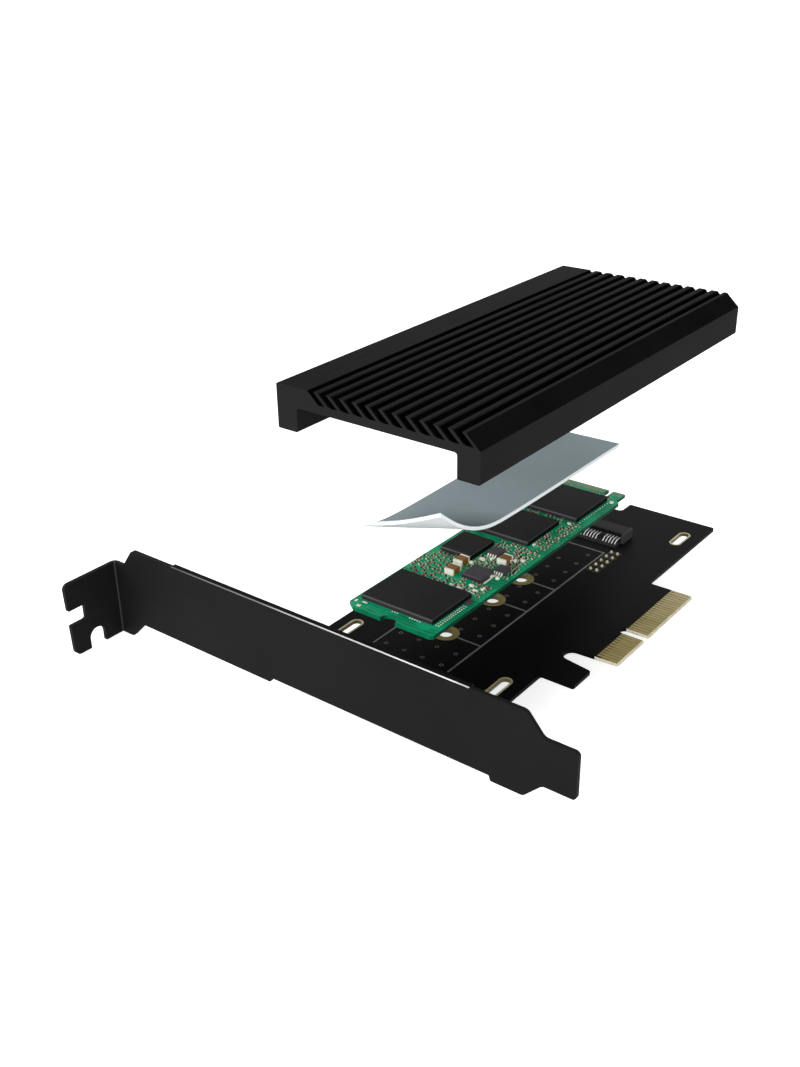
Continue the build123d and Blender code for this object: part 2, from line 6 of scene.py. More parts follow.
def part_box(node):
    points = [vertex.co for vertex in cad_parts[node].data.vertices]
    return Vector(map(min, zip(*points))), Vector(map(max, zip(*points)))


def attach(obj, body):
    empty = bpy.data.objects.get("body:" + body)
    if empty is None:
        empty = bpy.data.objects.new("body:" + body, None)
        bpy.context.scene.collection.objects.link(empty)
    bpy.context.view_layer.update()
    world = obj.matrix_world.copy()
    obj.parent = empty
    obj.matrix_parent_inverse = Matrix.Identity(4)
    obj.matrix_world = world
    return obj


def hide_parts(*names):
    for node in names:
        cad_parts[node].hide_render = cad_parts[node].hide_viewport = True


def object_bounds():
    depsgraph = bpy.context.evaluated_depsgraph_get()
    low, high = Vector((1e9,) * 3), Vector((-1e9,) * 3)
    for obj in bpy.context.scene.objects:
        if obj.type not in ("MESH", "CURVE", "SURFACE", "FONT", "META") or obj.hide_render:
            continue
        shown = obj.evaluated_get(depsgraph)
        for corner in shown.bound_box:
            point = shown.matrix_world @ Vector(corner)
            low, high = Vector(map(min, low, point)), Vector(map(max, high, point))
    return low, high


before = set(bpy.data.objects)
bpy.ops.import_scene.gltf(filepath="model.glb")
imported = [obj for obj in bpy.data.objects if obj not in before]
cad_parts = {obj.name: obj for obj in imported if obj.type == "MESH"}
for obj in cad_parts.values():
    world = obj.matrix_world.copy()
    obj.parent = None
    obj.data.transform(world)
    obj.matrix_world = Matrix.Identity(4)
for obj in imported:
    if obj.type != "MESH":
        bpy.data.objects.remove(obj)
cad_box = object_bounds()
MM = 0.001

# The card's own places, in metres: the board's top is z = 0 and the bracket is at negative y
drive_top = float(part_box("drive_board")[1][2])
sink_left = float(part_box("heat_sink")[0][0])
sink_right = float(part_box("heat_sink")[1][0])
sink_top = float(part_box("heat_sink")[1][2])
# The fingers' reach in y, and the x where the mask ends on the board's faces and on its walls
finger_near = -12.35 * MM
finger_far = 22.15 * MM
mask_end = -3.95 * MM
wall_end = -5.35 * MM
# The crease between the bracket's front and its foot
crease_x = -103.6 * MM
crease_y = -55.9 * MM
# The bracket's lip and the fold before it
lip_left = -84.9 * MM
lip_right = -7.2 * MM
lip_height = 14.7 * MM
fold_low = 14.2 * MM
fold_high = 14.8 * MM
# The fins: the left edge of the first top, the pitch, the sideways lean per depth, the depth and the count
rib_start = -48.46 * MM
rib_pitch = 3.0557 * MM
rib_lean = 1.088
rib_depth = 2.39 * MM
rib_count = 12
# Where the clip slots and the drive's seat holes stand; seat_x, in mm, is also the drive's middle line
seat_x = -35.65
slot_centres = [(x * MM, y * MM, 0.0) for x in (-53.85, -15.1) for y in (-33.9, 46.55)]
seat_centres = [(seat_x * MM, y * MM, 0.0) for y in (-43.45, -23.45, -5.45, 6.55)]

# The camera: the photograph's view, worked out for a picture 800 wide and 1067 high
camera_place = Vector((96.252, -207.228, 138.263)) * MM
picture_right = Vector((0.79178, 0.61061, -0.01518))
picture_down = Vector((0.26441, -0.36505, -0.89265))
picture_depth = Vector((-0.55060, 0.70277, -0.45049))
picture_wide = 800.0
focal_pixels = 1226.614
lens = bpy.data.cameras.new("photo_lens")
lens.sensor_fit = "HORIZONTAL"
lens.sensor_width = 36.0
lens.lens = lens.sensor_width * focal_pixels / picture_wide
lens.clip_start = 0.01
lens.clip_end = 40.0
camera = bpy.data.objects.new("photo_camera", lens)
turn = Matrix((picture_right, -picture_down, -picture_depth)).transposed()
camera.matrix_world = Matrix.Translation(camera_place) @ turn.to_4x4()
bpy.context.scene.collection.objects.link(camera)
bpy.context.scene.camera = camera
bpy.context.scene.view_settings.view_transform = "Standard"


# Node helpers
def screen(red, green, blue):
    """A screen colour 0..255 as the scene's linear colour: the sRGB curve undone channel by channel."""
    c = np.array([red, green, blue]) / 255.0
    c = np.where(c <= 0.04045, c / 12.92, ((c + 0.055) / 1.055) ** 2.4)
    return (float(c[0]), float(c[1]), float(c[2]), 1.0)


def grey(level):
    """A neutral screen grey 0..255 as a linear colour."""
    return screen(level, level, level)


def new_finish(name):
    """An empty material with its Principled shader, and the shader's own sockets ready to set."""
    finish = bpy.data.materials.new(name)
    finish.use_nodes = True
    tree = finish.node_tree
    shader = tree.nodes["Principled BSDF"]
    return finish, tree, shader


def piece_place(tree, stretch=(1.0, 1.0, 1.0)):
    """The point on the piece in metres, stretched along its axes."""
    where = tree.nodes.new("ShaderNodeTexCoord")
    mapping = tree.nodes.new("ShaderNodeMapping")
    mapping.inputs["Scale"].default_value = stretch
    tree.links.new(where.outputs["Object"], mapping.inputs["Vector"])
    return mapping.outputs["Vector"]


def parts_of(tree, vector):
    """The x, y and z of a vector as three outputs."""
    node = tree.nodes.new("ShaderNodeSeparateXYZ")
    tree.links.new(vector, node.inputs["Vector"])
    return node.outputs["X"], node.outputs["Y"], node.outputs["Z"]


def facing(tree):
    """The x, y and z of the surface's own direction in the card's frame."""
    where = tree.nodes.new("ShaderNodeTexCoord")
    return parts_of(tree, where.outputs["Normal"])


def cloud(tree, place, scale, detail=3.0, rough=0.5):
    """Soft noise, 0..1, whose grains are about 1/scale metres wide."""
    node = tree.nodes.new("ShaderNodeTexNoise")
    node.inputs["Scale"].default_value = scale
    node.inputs["Detail"].default_value = detail
    node.inputs["Roughness"].default_value = rough
    tree.links.new(place, node.inputs["Vector"])
    return node.outputs["Fac"]


def waves(tree, place, direction, scale, distortion, detail, detail_scale):
    """Wavering stripes, 0..1, that follow each other along one axis."""
    node = tree.nodes.new("ShaderNodeTexWave")
    node.bands_direction = direction
    node.inputs["Scale"].default_value = scale
    node.inputs["Distortion"].default_value = distortion
    node.inputs["Detail"].default_value = detail
    node.inputs["Detail Scale"].default_value = detail_scale
    tree.links.new(place, node.inputs["Vector"])
    return node.outputs["Fac"]


def ramp(tree, value, start, end, low=0.0, high=1.0):
    """low before start, high after end and a straight blend between them."""
    node = tree.nodes.new("ShaderNodeMapRange")
    node.inputs["From Min"].default_value = start
    node.inputs["From Max"].default_value = end
    node.inputs["To Min"].default_value = low
    node.inputs["To Max"].default_value = high
    tree.links.new(value, node.inputs["Value"])
    return node.outputs["Result"]


def worked(tree, operation, first, second=None):
    """One sum of two node outputs, or of an output and a number."""
    node = tree.nodes.new("ShaderNodeMath")
    node.operation = operation
    tree.links.new(first, node.inputs[0])
    if isinstance(second, (int, float)):
        node.inputs[1].default_value = second
    elif second is not None:
        tree.links.new(second, node.inputs[1])
    return node.outputs["Value"]


def tones(tree, factor, stops):
    """A colour ramp through (position, colour) stops."""
    node = tree.nodes.new("ShaderNodeValToRGB")
    line = node.color_ramp
    while len(line.elements) < len(stops):
        line.elements.new(0.5)
    for element, (place, colour) in zip(line.elements, stops):
        element.position = place
        element.color = colour
    tree.links.new(factor, node.inputs["Fac"])
    return node.outputs["Color"]


def mixed(tree, factor, under, over, blend="MIX"):
    """The colour under where factor is 0 and over where it is 1; each is an output or a fixed value."""
    node = tree.nodes.new("ShaderNodeMix")
    node.data_type = "RGBA"
    node.blend_type = blend
    for socket, value in ((node.inputs[0], factor), (node.inputs[6], under), (node.inputs[7], over)):
        if isinstance(value, (float, tuple)):
            socket.default_value = value
        else:
            tree.links.new(value, socket)
    return node.outputs[2]


def relief(tree, shader, height, depth):
    """Bumps the shader's normal by height times depth metres."""
    bump = tree.nodes.new("ShaderNodeBump")
    bump.inputs["Strength"].default_value = 1.0
    bump.inputs["Distance"].default_value = depth
    tree.links.new(height, bump.inputs["Height"])
    tree.links.new(bump.outputs["Normal"], shader.inputs["Normal"])


def gloss(tree, shader, grains, rough, level, metallic):
    """Sets the shine: roughness varies a little with the grain, the rest is the same all over."""
    tree.links.new(ramp(tree, grains, 0.3, 0.7, rough - 0.05, rough + 0.05), shader.inputs["Roughness"])
    shader.inputs["Specular IOR Level"].default_value = level
    shader.inputs["Metallic"].default_value = metallic


def coated(name, dark, light, wide, grain, depth, rough, level, stretch=(1.0, 1.0, 1.0), metallic=0.0):
    """Two close tones in soft patches 1/wide metres across, and a grain of 1/grain metres in the relief."""
    finish, tree, shader = new_finish(name)
    patches = cloud(tree, piece_place(tree), wide, 4.0)
    grains = cloud(tree, piece_place(tree, stretch), grain, 4.0, 0.6)
    tree.links.new(tones(tree, patches, [(0.3, dark), (0.7, light)]), shader.inputs["Base Color"])
    gloss(tree, shader, grains, rough, level, metallic)
    relief(tree, shader, grains, depth)
    return finish


# Finishes of the card
def solder_mask_black():
    """Black mask with a painted gradient of reflected light, darker towards the bracket and paler away from
    it, and bare laminate round and under the fingers.
    """
    finish, tree, shader = new_finish("solder_mask_black")
    place = piece_place(tree)
    x, y = parts_of(tree, place)[:2]
    up = facing(tree)[2]
    grains = cloud(tree, place, 1500.0, 3.0)
    patches = cloud(tree, place, 40.0, 3.0)
    # Painted light: the mask's tone runs from dark near the bracket to paler away from it, as reflected light
    # would
    waver = worked(tree, "ADD", y, ramp(tree, patches, 0.3, 0.7, -6.0 * MM, 6.0 * MM))
    depth = ramp(tree, waver, -16.0 * MM, 30.0 * MM)
    mask = tones(tree, depth, [(0.0, grey(5)), (0.5, grey(12)), (1.0, grey(16))])
    past_near = ramp(tree, y, finger_near - 0.7 * MM, finger_near - 0.6 * MM)
    before_far = ramp(tree, y, finger_far + 0.2 * MM, finger_far)
    inside = worked(tree, "MULTIPLY", past_near, before_far)
    flat = ramp(tree, worked(tree, "ABSOLUTE", up), 0.9, 0.97)
    along = worked(tree, "SUBTRACT", x, worked(tree, "MULTIPLY", flat, mask_end - wall_end))
    bare = worked(tree, "MULTIPLY", inside, ramp(tree, along, wall_end - 0.05 * MM, wall_end + 0.05 * MM))
    weave = cloud(tree, piece_place(tree, (1.0, 0.25, 1.0)), 2500.0, 2.0)
    laminate = tones(tree, weave, [(0.35, screen(118, 103, 62)), (0.65, screen(134, 120, 76))])
    edge = tones(tree, weave, [(0.35, screen(196, 190, 164)), (0.65, screen(222, 216, 192))])
    dressed = mixed(tree, flat, edge, laminate)
    tree.links.new(mixed(tree, bare, mask, dressed), shader.inputs["Base Color"])
    gloss(tree, shader, grains, 0.42, 0.02, 0.0)
    relief(tree, shader, grains, 0.000006)
    return finish


def finger_gold():
    """Hard gold drawn along x in fine lines, paler away from the bracket."""
    finish, tree, shader = new_finish("finger_gold")
    place = piece_place(tree)
    y = parts_of(tree, place)[1]
    lines = cloud(tree, piece_place(tree, (0.08, 1.0, 1.0)), 2600.0, 3.0)
    gold = tones(tree, ramp(tree, y, finger_near, finger_far), [
        (0.0, screen(162, 145, 90)), (0.6, screen(174, 159, 104)), (1.0, screen(196, 183, 136)),
    ])
    wear_and_glint = tones(tree, lines, [(0.35, grey(215)), (0.65, grey(255))])
    tree.links.new(mixed(tree, 1.0, gold, wear_and_glint, "MULTIPLY"), shader.inputs["Base Color"])
    gloss(tree, shader, lines, 0.42, 0.2, 0.1)
    relief(tree, shader, lines, 0.000005)
    return finish


def solder_mask_green():
    """Green mask with fine copper tracks under it, and walls in painted shade, with the walls that face the
    bracket painted lighter as lit.
    """
    finish, tree, shader = new_finish("solder_mask_green")
    place = piece_place(tree)
    towards, up = facing(tree)[1:]
    grains = cloud(tree, place, 1500.0, 3.0)
    patches = cloud(tree, place, 180.0, 3.0)
    tracks = ramp(tree, waves(tree, place, "X", 420.0, 6.0, 1.0, 0.3), 0.55, 0.75)
    copper = worked(tree, "MULTIPLY", tracks, ramp(tree, patches, 0.45, 0.6))
    mask = tones(tree, patches, [(0.3, screen(6, 146, 100)), (0.7, screen(12, 162, 112))])
    mask = mixed(tree, copper, mask, screen(40, 176, 126))
    crossing = ramp(tree, waves(tree, place, "Y", 300.0, 9.0, 2.0, 0.4), 0.6, 0.8)
    gaps = worked(tree, "MULTIPLY", crossing, ramp(tree, patches, 0.55, 0.42))
    mask = mixed(tree, gaps, mask, screen(2, 112, 76))
    # Painted shade on the walls, and painted light on the walls that face the bracket
    wall = tones(tree, patches, [(0.3, screen(6, 62, 43)), (0.7, screen(11, 82, 57))])
    front = tones(tree, patches, [(0.3, screen(12, 122, 84)), (0.7, screen(20, 146, 102))])
    wall = mixed(tree, ramp(tree, towards, -0.5, -0.9), wall, front)
    tree.links.new(mixed(tree, ramp(tree, up, 0.4, 0.8), wall, mask), shader.inputs["Base Color"])
    gloss(tree, shader, grains, 0.38, 0.06, 0.0)
    relief(tree, shader, worked(tree, "ADD", copper, grains), 0.00001)
    return finish


def fired_ceramic(name, dark, light, scale):
    """Ceramic bodies whose tone changes from part to part, as in a mixed row of parts."""
    finish, tree, shader = new_finish(name)
    place = piece_place(tree)
    grains = cloud(tree, place, 3000.0, 3.0)
    cells = tree.nodes.new("ShaderNodeTexVoronoi")
    cells.inputs["Scale"].default_value = scale
    tree.links.new(place, cells.inputs["Vector"])
    tone = parts_of(tree, cells.outputs["Color"])[0]
    tree.links.new(tones(tree, tone, [(0.2, dark), (0.8, light)]), shader.inputs["Base Color"])
    gloss(tree, shader, grains, 0.45, 0.2, 0.0)
    relief(tree, shader, grains, 0.00001)
    return finish


def silicone_film():
    """Grey film with a fine haze, and painted shade in the hollow of the curled end."""
    finish, tree, shader = new_finish("pad_film")
    place = piece_place(tree)
    x, y = parts_of(tree, place)[:2]
    haze = cloud(tree, place, 45.0, 4.0)
    grains = cloud(tree, place, 420.0, 4.0, 0.6)
    film = tones(tree, haze, [(0.3, screen(170, 187, 192)), (0.7, screen(180, 197, 203))])
    # Painted shade: a darker copy of the film for the hollow of the curled end
    hollow = tones(tree, haze, [(0.3, screen(104, 117, 122)), (0.7, screen(112, 126, 131))])
    along = worked(tree, "ADD", y, worked(tree, "MULTIPLY", x, -0.35))
    curled = ramp(tree, along, -5.0 * MM, -17.0 * MM)
    low = worked(tree, "MULTIPLY", curled, ramp(tree, x, -43.0 * MM, -31.0 * MM))
    tree.links.new(mixed(tree, low, film, hollow), shader.inputs["Base Color"])
    gloss(tree, shader, grains, 0.5, 0.05, 0.0)
    relief(tree, shader, grains, 0.00002)
    return finish


def painted_package_front():
    """The front wall of a package, painted lighter than its sides as lit: a dull band between a painted
    highlight band near its top and a lighter line at its foot.
    """
    finish, tree, shader = new_finish("package_front_painted_lit")
    place = piece_place(tree)
    height = parts_of(tree, place)[2]
    grains = cloud(tree, place, 4200.0, 4.0)
    above = worked(tree, "SUBTRACT", height, drive_top)
    share = ramp(tree, above, 0.0, 1.2 * MM)
    # Painted light in bands by height, with a painted highlight band near the top
    band = tones(tree, share, [
        (0.0, screen(70, 66, 70)), (0.16, screen(46, 43, 47)), (0.62, screen(54, 51, 55)),
        (0.74, screen(98, 91, 94)), (0.9, screen(92, 86, 89)), (1.0, screen(54, 51, 54)),
    ])
    tree.links.new(band, shader.inputs["Base Color"])
    gloss(tree, shader, grains, 0.5, 0.05, 0.0)
    relief(tree, shader, grains, 0.00001)
    return finish


def painted_fold_glint():
    """The fold before the bracket's lip, a painted highlight: dull near the foot and painted brighter towards
    the tongue, as a glint on the rounded fold.
    """
    finish, tree, shader = new_finish("fold_glint_finish")
    place = piece_place(tree)
    x = parts_of(tree, place)[0]
    wear_and_glint = cloud(tree, piece_place(tree, (1.0, 0.2, 0.2)), 90.0, 4.0, 0.6)
    grains = cloud(tree, piece_place(tree, (0.05, 1.0, 1.0)), 3000.0, 3.0)
    # Painted highlight along the fold, its bright stretch moved along x by soft patches
    along = worked(tree, "ADD", x, ramp(tree, wear_and_glint, 0.3, 0.7, -7.0 * MM, 7.0 * MM))
    share = ramp(tree, along, -88.0 * MM, -6.0 * MM)
    line = tones(tree, share, [
        (0.0, grey(76)), (0.35, grey(118)), (0.62, grey(205)), (0.9, grey(238)), (1.0, grey(170)),
    ])
    tree.links.new(line, shader.inputs["Base Color"])
    gloss(tree, shader, grains, 0.4, 0.3, 0.0)
    relief(tree, shader, grains, 0.000005)
    return finish


def powder_coat_black():
    """Satin black powder with a fine orange-peel grain, and a painted highlight that makes it paler along the
    crease of the foot.
    """
    finish, tree, shader = new_finish("powder_coat_black")
    place = piece_place(tree)
    x, y = parts_of(tree, place)[:2]
    patches = cloud(tree, place, 55.0, 4.0)
    grains = cloud(tree, place, 2600.0, 4.0, 0.6)
    coat = tones(tree, patches, [(0.3, grey(24)), (0.7, grey(27))])
    # Painted highlight: paler grey within a few tenths of a millimetre of the crease
    beside = worked(tree, "ABSOLUTE", worked(tree, "SUBTRACT", x, crease_x))
    behind = worked(tree, "ABSOLUTE", worked(tree, "SUBTRACT", y, crease_y))
    near = ramp(tree, worked(tree, "MAXIMUM", beside, behind), 0.3 * MM, 0.1 * MM)
    tree.links.new(mixed(tree, near, coat, grey(70)), shader.inputs["Base Color"])
    gloss(tree, shader, grains, 0.5, 0.03, 0.0)
    relief(tree, shader, grains, 0.000018)
    return finish


def anodised_ribs_with_painted_shade():
    """Black anodising on the fins' tops and ends, with painted light and shade: the ends painted lighter than
    the tops, and a satin band on each fin's left, then a painted shadow band in deep black.
    The bands lean with the fins: the place across a fin is x less the lean times the depth under the tops."""
    finish, tree, shader = new_finish("anodised_ribs_with_painted_shade")
    place = piece_place(tree)
    x, z = parts_of(tree, place)[::2]
    up = facing(tree)[2]
    patches = cloud(tree, place, 40.0, 4.0)
    grains = cloud(tree, piece_place(tree, (1.0, 0.03, 1.0)), 1500.0, 4.0, 0.6)
    depth = worked(tree, "ADD", worked(tree, "MULTIPLY", z, -1.0), sink_top)
    across = worked(tree, "SUBTRACT", x, worked(tree, "MULTIPLY", depth, rib_lean))
    turns = worked(tree, "DIVIDE", worked(tree, "SUBTRACT", across, rib_start), rib_pitch)
    share = worked(tree, "FRACT", turns)
    past_last = ramp(tree, turns, rib_count + 0.2, rib_count + 0.1)
    among = worked(tree, "MULTIPLY", ramp(tree, turns, -0.3, -0.2), past_last)
    above = ramp(tree, depth, rib_depth, rib_depth - 0.2 * MM)
    # Painted shadow: the deep black band on each fin, where its shoulder falls into shade
    deep = worked(tree, "MULTIPLY", worked(tree, "MULTIPLY", among, above), ramp(tree, share, 0.3, 0.34))
    # Painted light: the ends are a lighter copy of the tops
    top = tones(tree, patches, [(0.3, grey(25)), (0.7, grey(28))])
    end = tones(tree, patches, [(0.3, grey(35)), (0.7, grey(38))])
    satin = mixed(tree, ramp(tree, up, 0.4, 0.8), end, top)
    tree.links.new(mixed(tree, deep, satin, grey(5)), shader.inputs["Base Color"])
    gloss(tree, shader, grains, 0.45, 0.005, 0.0)
    relief(tree, shader, grains, 0.00001)
    return finish


powder_coat = powder_coat_black()
# Painted shade: a darker copy of the powder coat for the lip's top
lip_painted_shade = coated("lip_shade_black", grey(12), grey(17), 90.0, 2600.0, 0.000015, 0.55, 0.02)
fold_glint_finish = painted_fold_glint()
fins_painted_light_and_shade = anodised_ribs_with_painted_shade()
anodised = coated("anodised_black", grey(33), grey(36), 40.0, 1500.0, 0.00001, 0.45, 0.005, (1.0, 0.03, 1.0))
# Painted shade: near-black for the walls and floors of the grooves
groove_painted_shade = coated("groove_shade_black", grey(2), grey(6), 90.0, 1500.0, 0.00001, 0.6, 0.0, (1.0, 0.03, 1.0))
# Painted shade: a darker copy of the anodising for the sloping face at the right of the last fin
flank_painted_shade = coated(
    "flank_painted_shade", grey(15), grey(20), 60.0, 1500.0, 0.00001, 0.6, 0.0, (1.0, 0.03, 1.0)
)
board_mask = solder_mask_black()
finger_plate = finger_gold()
green_mask = solder_mask_green()
zinc_steel = coated("zinc_steel", grey(120), grey(150), 300.0, 1800.0, 0.00001, 0.35, 0.4, metallic=0.7)
gold_flash = coated(
    "gold_flash", screen(150, 142, 98), screen(196, 190, 158), 420.0, 2200.0, 0.000008, 0.38, 0.3,
    metallic=0.15,
)
seat_gold = coated(
    "seat_gold", screen(122, 113, 60), screen(146, 136, 82), 300.0, 2200.0, 0.000008, 0.42, 0.1, metallic=0.1
)
# Painted shade: a darker copy of the gold plating for the walls inside the holes
gold_wall_painted_shade = coated(
    "gold_wall_painted_shade", screen(84, 70, 34), screen(118, 100, 58), 500.0, 2200.0, 0.000008, 0.4, 0.25, metallic=0.15
)
print_ink = coated("print_ink", grey(98), grey(122), 160.0, 3000.0, 0.000008, 0.6, 0.1)
via_mask = coated("via_mask", screen(84, 80, 68), screen(108, 103, 90), 300.0, 3000.0, 0.000008, 0.5, 0.1)
pin_pad_tin = coated("pin_pad_tin", screen(30, 27, 20), screen(64, 58, 43), 500.0, 2400.0, 0.00001, 0.5, 0.1)
tin_solder = coated(
    "tin_solder", screen(226, 222, 204), screen(248, 246, 236), 700.0, 2400.0, 0.00002, 0.34, 0.4
)
fine_tin = coated("fine_tin", screen(132, 130, 108), screen(224, 220, 198), 260.0, 2400.0, 0.00002, 0.34, 0.4)
steel_leg = coated("steel_leg", grey(226), grey(244), 900.0, 2400.0, 0.00001, 0.3, 0.5)
pin_metal = coated(
    "pin_metal", screen(176, 170, 146), screen(206, 200, 178), 900.0, 2400.0, 0.00001, 0.34, 0.4
)
socket_plastic = coated("socket_plastic", grey(44), grey(49), 200.0, 2400.0, 0.000012, 0.5, 0.03)
socket_end_plastic = coated("socket_end_plastic", grey(60), grey(66), 200.0, 2400.0, 0.000012, 0.5, 0.03)
package_top = coated("package_top", grey(34), grey(38), 120.0, 4200.0, 0.00001, 0.5, 0.02)
# Painted shade on the packages' walls, painted light on their fronts and a painted highlight on their rounded
# edges
package_wall_painted_shade = coated("package_wall_painted_shade", grey(9), grey(15), 160.0, 4200.0, 0.00001, 0.55, 0.05)
package_front_painted_lit = painted_package_front()
package_edge_painted_highlight = coated("package_edge_painted_highlight", grey(52), grey(66), 200.0, 4200.0, 0.00001, 0.5, 0.05)
choke_resin = coated("choke_resin", screen(66, 61, 67), screen(78, 72, 78), 400.0, 2600.0, 0.00002, 0.5, 0.05)
cap_ceramic = fired_ceramic("cap_ceramic", screen(112, 72, 22), screen(134, 92, 36), 150.0)
chip_ceramic = fired_ceramic("chip_ceramic", screen(26, 26, 26), screen(96, 84, 58), 700.0)
drive_contact_tin = coated(
    "drive_contact_tin", screen(96, 122, 92), screen(140, 150, 118), 900.0, 2400.0, 0.00001, 0.4, 0.2
)
pad_film = silicone_film()
pad_body = coated("pad_body", screen(240, 247, 249), screen(248, 252, 253), 80.0, 1400.0, 0.00003, 0.6, 0.1)

node_finish = {
    "bracket": powder_coat,
    "bracket_screws": zinc_steel,
    "circuit_board": board_mask,
    "edge_contacts": finger_plate,
    "slot_plating": gold_flash,
    "seat_rings": seat_gold,
    "via_pads": via_mask,
    "printed_lines": print_ink,
    "header_pads": pin_pad_tin,
    "header_pins": tin_solder,
    "m2_socket": socket_plastic,
    "m2_socket_ends": socket_end_plastic,
    "m2_socket_contacts": steel_leg,
    "drive_board": green_mask,
    "drive_contacts": drive_contact_tin,
    "drive_front_memory": package_top,
    "drive_controller": package_top,
    "drive_middle_memory": package_top,
    "drive_rear_memory": package_top,
    "drive_choke": choke_resin,
    "drive_power_ics": choke_resin,
    "drive_ic_pins": tin_solder,
    "drive_capacitors": cap_ceramic,
    "drive_capacitor_ends": tin_solder,
    "drive_chip_parts": chip_ceramic,
    "drive_chip_ends": tin_solder,
    "pad_cover_film": pad_film,
    "thermal_pad": pad_body,
    "heat_sink": anodised,
}
for node, finish in node_finish.items():
    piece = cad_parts[node]
    if not piece.material_slots:
        piece.data.materials.append(finish)
    for place in piece.material_slots:
        place.material = finish


def refinish(node, finish, picks):
    """A second finish on the faces of a node that picks chooses from all centres and directions at once."""
    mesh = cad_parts[node].data
    count = len(mesh.polygons)
    centres = np.empty(count * 3, np.float32)
    directions = np.empty(count * 3, np.float32)
    index = np.empty(count, np.int32)
    mesh.polygons.foreach_get("center", centres)
    mesh.polygons.foreach_get("normal", directions)
    mesh.polygons.foreach_get("material_index", index)
    mesh.materials.append(finish)
    index[picks(centres.reshape(-1, 3), directions.reshape(-1, 3))] = len(mesh.materials) - 1
    mesh.polygons.foreach_set("material_index", index)
    mesh.update()


def groove_faces(centres, directions):
    """The leaning walls and floors of the grooves: under the fin tops, and not the heat sink's two ends."""
    between = (centres[:, 2] < sink_top - 0.03 * MM) & (centres[:, 2] > sink_top - rib_depth - 0.11 * MM)
    return between & (np.abs(directions[:, 1]) < 0.5) & (centres[:, 0] > sink_left + 0.5 * MM)


def flank_faces(centres, directions):
    """The wide sloping face at the right of the last fin."""
    return groove_faces(centres, directions) & (centres[:, 0] > sink_right - 2.2 * MM)


def fin_faces(centres, directions):
    """The flat tops of the fins and of the band beside them, and the heat sink's two ends."""
    return (directions[:, 2] > 0.95) | (np.abs(directions[:, 1]) > 0.9)


def front_faces(centres, directions):
    """The walls that face the bracket."""
    return directions[:, 1] < -0.8


def side_faces(centres, directions):
    """The walls and undersides."""
    return directions[:, 2] < 0.2


def edge_faces(centres, directions):
    """The rounded edges round a top."""
    return (directions[:, 2] > 0.2) & (directions[:, 2] < 0.95)


def beside_lip(centres):
    """The stretch of x that the lip takes up."""
    return (centres[:, 0] > lip_left) & (centres[:, 0] < lip_right)


def lip_faces(centres, directions):
    """The bracket's lip along its top, behind the fold."""
    return beside_lip(centres) & (directions[:, 2] > 0.95) & (centres[:, 2] > lip_height)


def fold_faces(centres, directions):
    """The rounded fold between the bracket's front and its lip."""
    leaning = (directions[:, 1] < -0.3) & (directions[:, 2] > 0.6)
    return beside_lip(centres) & leaning & (centres[:, 2] > fold_low) & (centres[:, 2] < fold_high)


# Painted light and shade on the fins, painted shade in the grooves and on the sloping flank
refinish("heat_sink", fins_painted_light_and_shade, fin_faces)
refinish("heat_sink", groove_painted_shade, groove_faces)
refinish("heat_sink", flank_painted_shade, flank_faces)
# Painted shade on the lip's top
refinish("bracket", lip_painted_shade, lip_faces)
# Painted highlight on the fold before the lip
refinish("bracket", fold_glint_finish, fold_faces)
# Painted light on the choke's and the packages' fronts, painted shade on the packages' walls and a painted
# highlight on their rounded edges
refinish("drive_choke", package_front_painted_lit, front_faces)
for package in ("drive_front_memory", "drive_controller", "drive_middle_memory", "drive_rear_memory"):
    refinish(package, package_wall_painted_shade, side_faces)
    refinish(package, package_front_painted_lit, front_faces)
    refinish(package, package_edge_painted_highlight, edge_faces)


# New pieces
def skin(rings, closed):
    """Vertices and faces over a grid of rings, shape (copies, stations, round, 3). Each ring is joined to the
    next. When closed, the last is joined to the first; otherwise each end gets a pole at its middle."""
    copies, stations, around = rings.shape[:3]
    here = np.arange(stations * around).reshape(stations, around)
    ahead = np.roll(here, -1, axis=1)
    quads = np.stack([here, ahead, np.roll(ahead, -1, axis=0), np.roll(here, -1, axis=0)], axis=-1)
    quads = quads[:None if closed else -1].reshape(-1, 4)
    points = rings.reshape(copies, -1, 3)
    fans = np.empty((0, 3), int)
    if not closed:
        poles = np.stack([rings[:, 0].mean(axis=1), rings[:, -1].mean(axis=1)], axis=1)
        points = np.concatenate([points, poles], axis=1)
        start_fan = np.stack([ahead[0], here[0], np.full(around, stations * around)], axis=-1)
        end_fan = np.stack([here[-1], ahead[-1], np.full(around, stations * around + 1)], axis=-1)
        fans = np.concatenate([start_fan, end_fan])
    sample = points[0] - points[0].mean(axis=0)
    corners = np.concatenate([quads[:, [0, 1, 2]], quads[:, [0, 2, 3]], fans])
    first, second, third = (sample[corners[:, i]] for i in range(3))
    if np.einsum("ij,ij->i", first, np.cross(second, third)).sum() < 0:
        quads, fans = quads[:, ::-1], fans[:, ::-1]
    shift = (np.arange(copies) * points.shape[1])[:, None, None]
    faces = (quads[None] + shift).reshape(-1, 4).tolist() + (fans[None] + shift).reshape(-1, 3).tolist()
    return points.reshape(-1, 3), faces


def riding(name, slot, finish, points, faces, smooth):
    """A mesh of points and faces as a piece that rides on the card's one body."""
    mesh = bpy.data.meshes.new(name)
    mesh.from_pydata(points.tolist(), [], faces)
    mesh.polygons.foreach_set("use_smooth", np.full(len(mesh.polygons), smooth))
    mesh.update()
    mesh.materials.append(finish)
    piece = bpy.data.objects.new(name, mesh)
    bpy.context.scene.collection.objects.link(piece)
    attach(piece, "root")
    return piece


def put_piece(name, slot, finish, rings, closed, smooth=False):
    """The skin over a grid of rings as a piece."""
    return riding(name, slot, finish, *skin(rings, closed), smooth)


